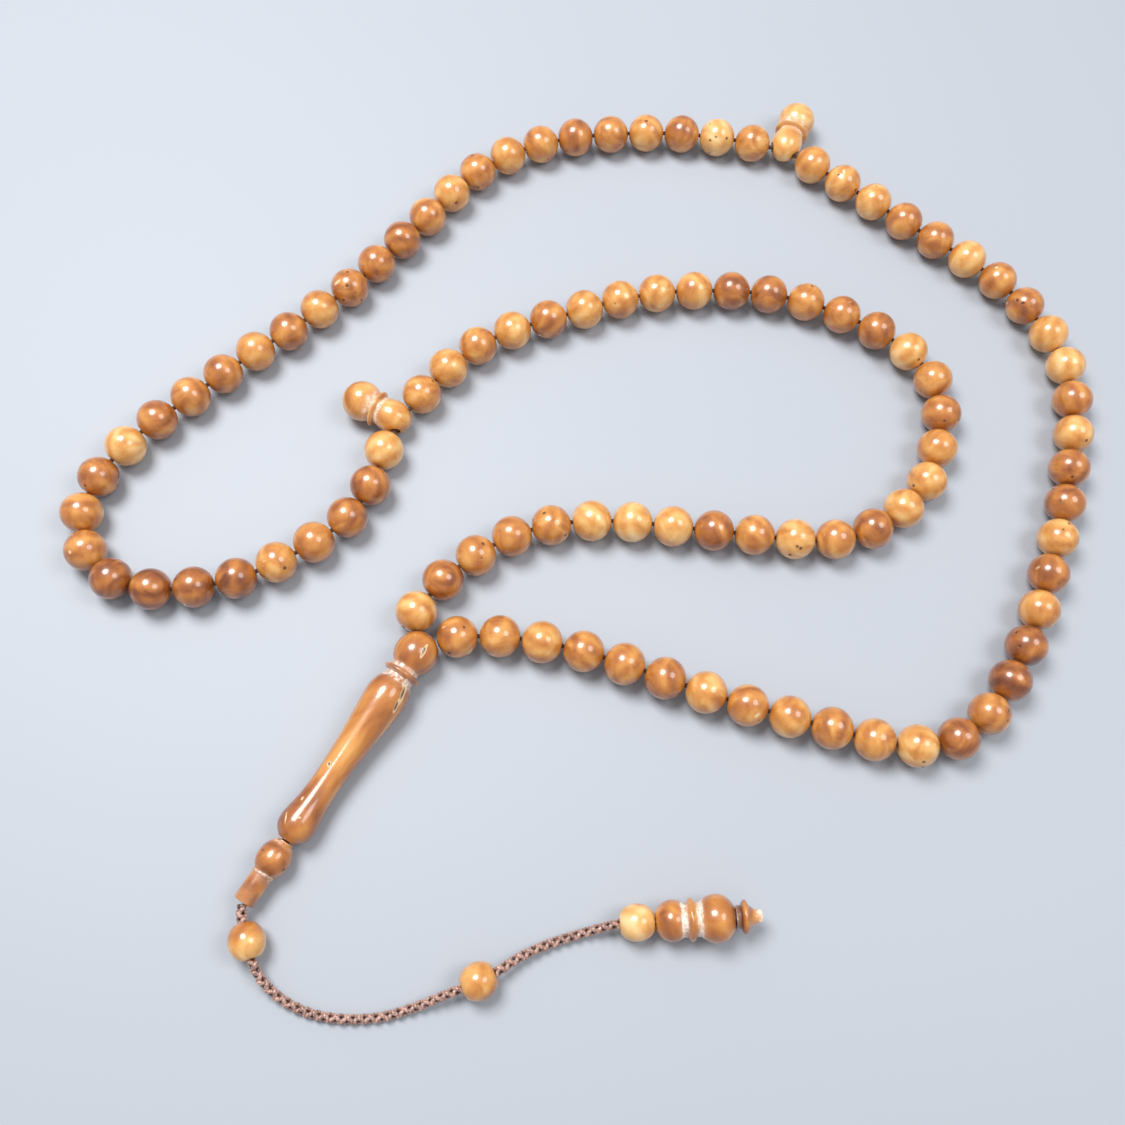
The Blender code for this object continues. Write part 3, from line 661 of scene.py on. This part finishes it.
ringPlace, ringWide, ringHalf = leader["ring"]
vaseSide = smoothRoute([(radius, -place, 0) for place, radius in leader["vase"]], 5)[:, :2]
bore = leader["bore"] / 2
profile = [
    *oval(0, leader["head"][0], leader["head"][1], leader["head"][1], 0, leader["groove"], 26),
    *oval(ringPlace, ringWide, ringHalf, ringHalf, leader["groove"], leader["groove"], 10),
    *(tuple(point) for point in vaseSide),
    (bore, -leader["vase"][-1][0]), (bore, leader["boreTop"]), (0, leader["boreTop"] + bore / 2),
]
leaderPlace = lyingAt(headMiddle, -leaderWay)
leaderPiece = turnOnLathe("leader_vase", profile, 72)
inward = leaderPlace.inverted().to_3x3()
flatHeading = math.atan2(-leaderWay.y, -leaderWay.x)
for side in (-1, 1):
    heading = flatHeading + side * deg(leader["sideHoles"])
    out = (inward @ Vector((math.cos(heading), math.sin(heading), 0))).normalized()
    drillThrough(leaderPiece, Vector((0, 0, 0)), out, 5.5 * mm, leader["sideHole"] * mm)
markWood(leaderPiece, 404, leader["tone"], leader["grooves"], 0.35, -1.0)
settle(leaderPiece, leaderPlace, "leader", ["leader"], leaderWood)
print("leader turned")


# the tip under the leader: a lip, a ball, a pale ridge and a tube
tip = {
    "lip": (3.3, 0.3), "ball": (3.8, 6.2, 4.0, 3.4), "ridge": (0.15, 0.6), "tube": (4.0, 5.5), "bore": (2.4, 2.9, 4.8),
    "tone": 0.34, "gap": 0.3,
}

ballPlace, ballWide, ballUp, ballDown = tip["ball"]
tubeRadius = tip["tube"][0] / 2
side = oval(ballPlace, ballWide, ballUp, ballDown, tip["lip"][0], tip["tube"][0], 20)
foot = side[-1][1]
mouth = foot - tip["ridge"][1] - tip["tube"][1]
profile = [
    (tip["lip"][0] / 2, side[0][1] + tip["lip"][1]), *side,
    (tubeRadius + tip["ridge"][0] * 0.7, foot - 0.08), (tubeRadius + tip["ridge"][0], foot - 0.22),
    (tubeRadius + tip["ridge"][0], foot - 0.4), (tubeRadius + tip["ridge"][0] * 0.6, foot - 0.54),
    (tubeRadius, foot - tip["ridge"][1]),
    (tubeRadius, foot - 2.5), (tubeRadius, mouth + 0.2), (tubeRadius - 0.1, mouth + 0.05), (tubeRadius - 0.2, mouth),
    (tip["bore"][1] / 2, mouth), (tip["bore"][1] / 2, mouth + tip["bore"][2]),
    (tip["bore"][0] / 2, mouth + tip["bore"][2]), (tip["bore"][0] / 2, side[0][1] + tip["lip"][1]),
]
tipPiece = turnOnLathe("leader_tip_piece", profile, 56, bored=True)
tipDatum = headMiddle + leaderWay * (leader["vase"][-1][0] + tip["gap"] + side[0][1] + tip["lip"][1]) * mm
tipGrooves = ((-foot + 0.3, 0.4, 0.7), (-side[0][1] + 0.1, 0.5, 0.66), (-mouth, 0.25, 0.6))
markWood(tipPiece, 517, tip["tone"], tipGrooves, 0.6, 0.6)
settle(tipPiece, lyingAt(tipDatum, -leaderWay), "leader_tip", ["leader_tip"], nutWood)
print("leader tip turned")


# the tail's three small beads
tailBeads = {
    "diameter": 6.6, "length": 6.1, "bore": 2.8, "rim": 0.3, "at": (3, 13, 20),
    "tones": (((-3, 0.72), (-0.5, 0.74), (1.2, 0.42), (3, 0.5)), 0.5, 0.74),
}

smallBead = makeBead("tailBead", tailBeads, 40, 24)
routeAndOn = [*braidRoute, finialStart + finialWay * 3 * mm]
for i, (tone, at) in enumerate(zip(tailBeads["tones"], tailBeads["at"]), 1):
    bead = smallBead.copy()
    bead.data = smallBead.data.copy()
    bead.name = bead.data.name = f"braid_bead_{i}"
    bpy.context.scene.collection.objects.link(bead)
    markWood(bead, 620 + i, tone)
    way = (routeAndOn[at + 1] - routeAndOn[at - 1]).normalized()
    settle(bead, lyingAt(braidRoute[at], way), f"tail_bead_{i}", [f"tail_bead_{i}"], nutWood)
bpy.data.objects.remove(smallBead, do_unlink=True)
print("tail beads strung")


# the finial: two bulbs with a ring between them, and its cap with a raw nipple
finial = {
    "bulb1": (6.3, 7.3, 3.3), "groove": 6.0, "ring": (9.7, 7.6, 1.3), "bulb2": (14.3, 8.5, 4.3, 3.5), "foot": 4.4,
    "bore": 2.8, "start": 3.35, "tone": 0.42, "grooves": ((8.35, 0.7, 0.9), (11.1, 0.68, 0.9)),
}

bulbPlace, bulbWide, bulbReach = finial["bulb1"]
shoulder = bulbWide * math.sqrt(1 - ((bulbPlace - finial["start"]) / bulbReach) ** 2)
ringPlace, ringWide, ringHalf = finial["ring"]
profile = [
    *oval(bulbPlace, bulbWide, bulbReach, bulbReach, shoulder, finial["groove"], 20),
    *oval(ringPlace, ringWide, ringHalf, ringHalf, finial["groove"], finial["groove"], 12),
    *oval(*finial["bulb2"], finial["groove"], finial["foot"], 22),
]
profile += [(finial["bore"] / 2, profile[-1][1]), (finial["bore"] / 2, profile[0][1])]
finialPiece = turnOnLathe("finial_bulbs", profile, 64, bored=True)
markWood(finialPiece, 711, finial["tone"], finial["grooves"], 0.6)
settle(finialPiece, lyingAt(finialStart, -finialWay), "finial", ["finial"], nutWood)

# the cap's tone runs darkest at its neck, beside the lower bulb: painted shade in the gap between the two parts
cap = {"neck": 4.2, "disc": (1.6, 6.0, 1.0), "cone": 1.1, "nipple": (2.5, 1.2), "chamber": (3.1, 2.4),
       "tone": ((0.9, -0.1), (1.05, 0.34), (1.6, 0.46), (3, 0.5))}

side = oval(cap["disc"][0], cap["disc"][1], cap["disc"][2], cap["disc"][2], cap["neck"], cap["neck"], 12)
coneFoot = side[-1][1] - cap["cone"]
nipple = cap["nipple"][0] / 2
chamberWide, chamberDeep = cap["chamber"]
profile = [
    (0, -chamberDeep), (chamberWide / 2, -chamberDeep), (chamberWide / 2, 0), (cap["neck"] / 2, 0), *side,
    (nipple + 0.35, coneFoot + 0.45), (nipple, coneFoot), (nipple, coneFoot - cap["nipple"][1] * 0.5),
    (nipple * 0.97, coneFoot - cap["nipple"][1]), (0, coneFoot - cap["nipple"][1]),
]
capPiece = turnOnLathe("finial_cap_piece", profile, 56)
rng = random.Random(91)
for vertex in capPiece.data.vertices:  # the nipple is broken off rough
    if vertex.co.z < (coneFoot - 0.3) * mm:
        vertex.co.z += rng.uniform(-0.1, 0.16) * mm
        vertex.co.x *= rng.uniform(0.9, 1.02)
        vertex.co.y *= rng.uniform(0.9, 1.02)
markWood(capPiece, 733, cap["tone"], ((0.1, 0.25, 0.7), (-coneFoot + 1.0, 1.0, 0.8)), 0.8, 0.4)
settle(capPiece, lyingAt(capStart, -finialWay), "finial_cap", ["finial_cap"], nutWood)
print("finial and cap turned")


# floor, backdrop and light
stage = {
    "floor": "#A6ABB3", "key": ((-0.24, 0.17, 0.63), 0.36, 5.2), "fill": ((0.44, 0.04, 0.67), 0.4, 2.4), "sky": 0.55,
}

bpy.ops.object.select_all(action="DESELECT")
bpy.ops.mesh.primitive_plane_add(size=6, location=(0, 0, -0.00002))
floor = bpy.context.active_object
floor.name = "floor"
floorMaterial, floorTree, floorShader = newMaterial("paleMattBoard")
floorShader.inputs["Base Color"].default_value = linear(stage["floor"])
floorShader.inputs["Roughness"].default_value = 0.55
floor.data.materials.append(floorMaterial)


def addLamp(name, place, size, power):
    data = bpy.data.lights.new(name, "AREA")
    data.shape = "DISK"
    data.size = size
    data.energy = power
    lamp = bpy.data.objects.new(name, data)
    bpy.context.scene.collection.objects.link(lamp)
    lamp.location = place
    lamp.rotation_euler = (-Vector(place)).to_track_quat("-Z", "Y").to_euler()


addLamp("windowSide", *stage["key"])
addLamp("roomSide", *stage["fill"])
world = bpy.data.worlds.new("softRoom")
bpy.context.scene.world = world
world.use_nodes = True
background = world.node_tree.nodes["Background"]
background.inputs["Color"].default_value = linear("#F2F4F8")
background.inputs["Strength"].default_value = stage["sky"]
bpy.context.scene.view_settings.view_transform = "Standard"
print("stage lit")
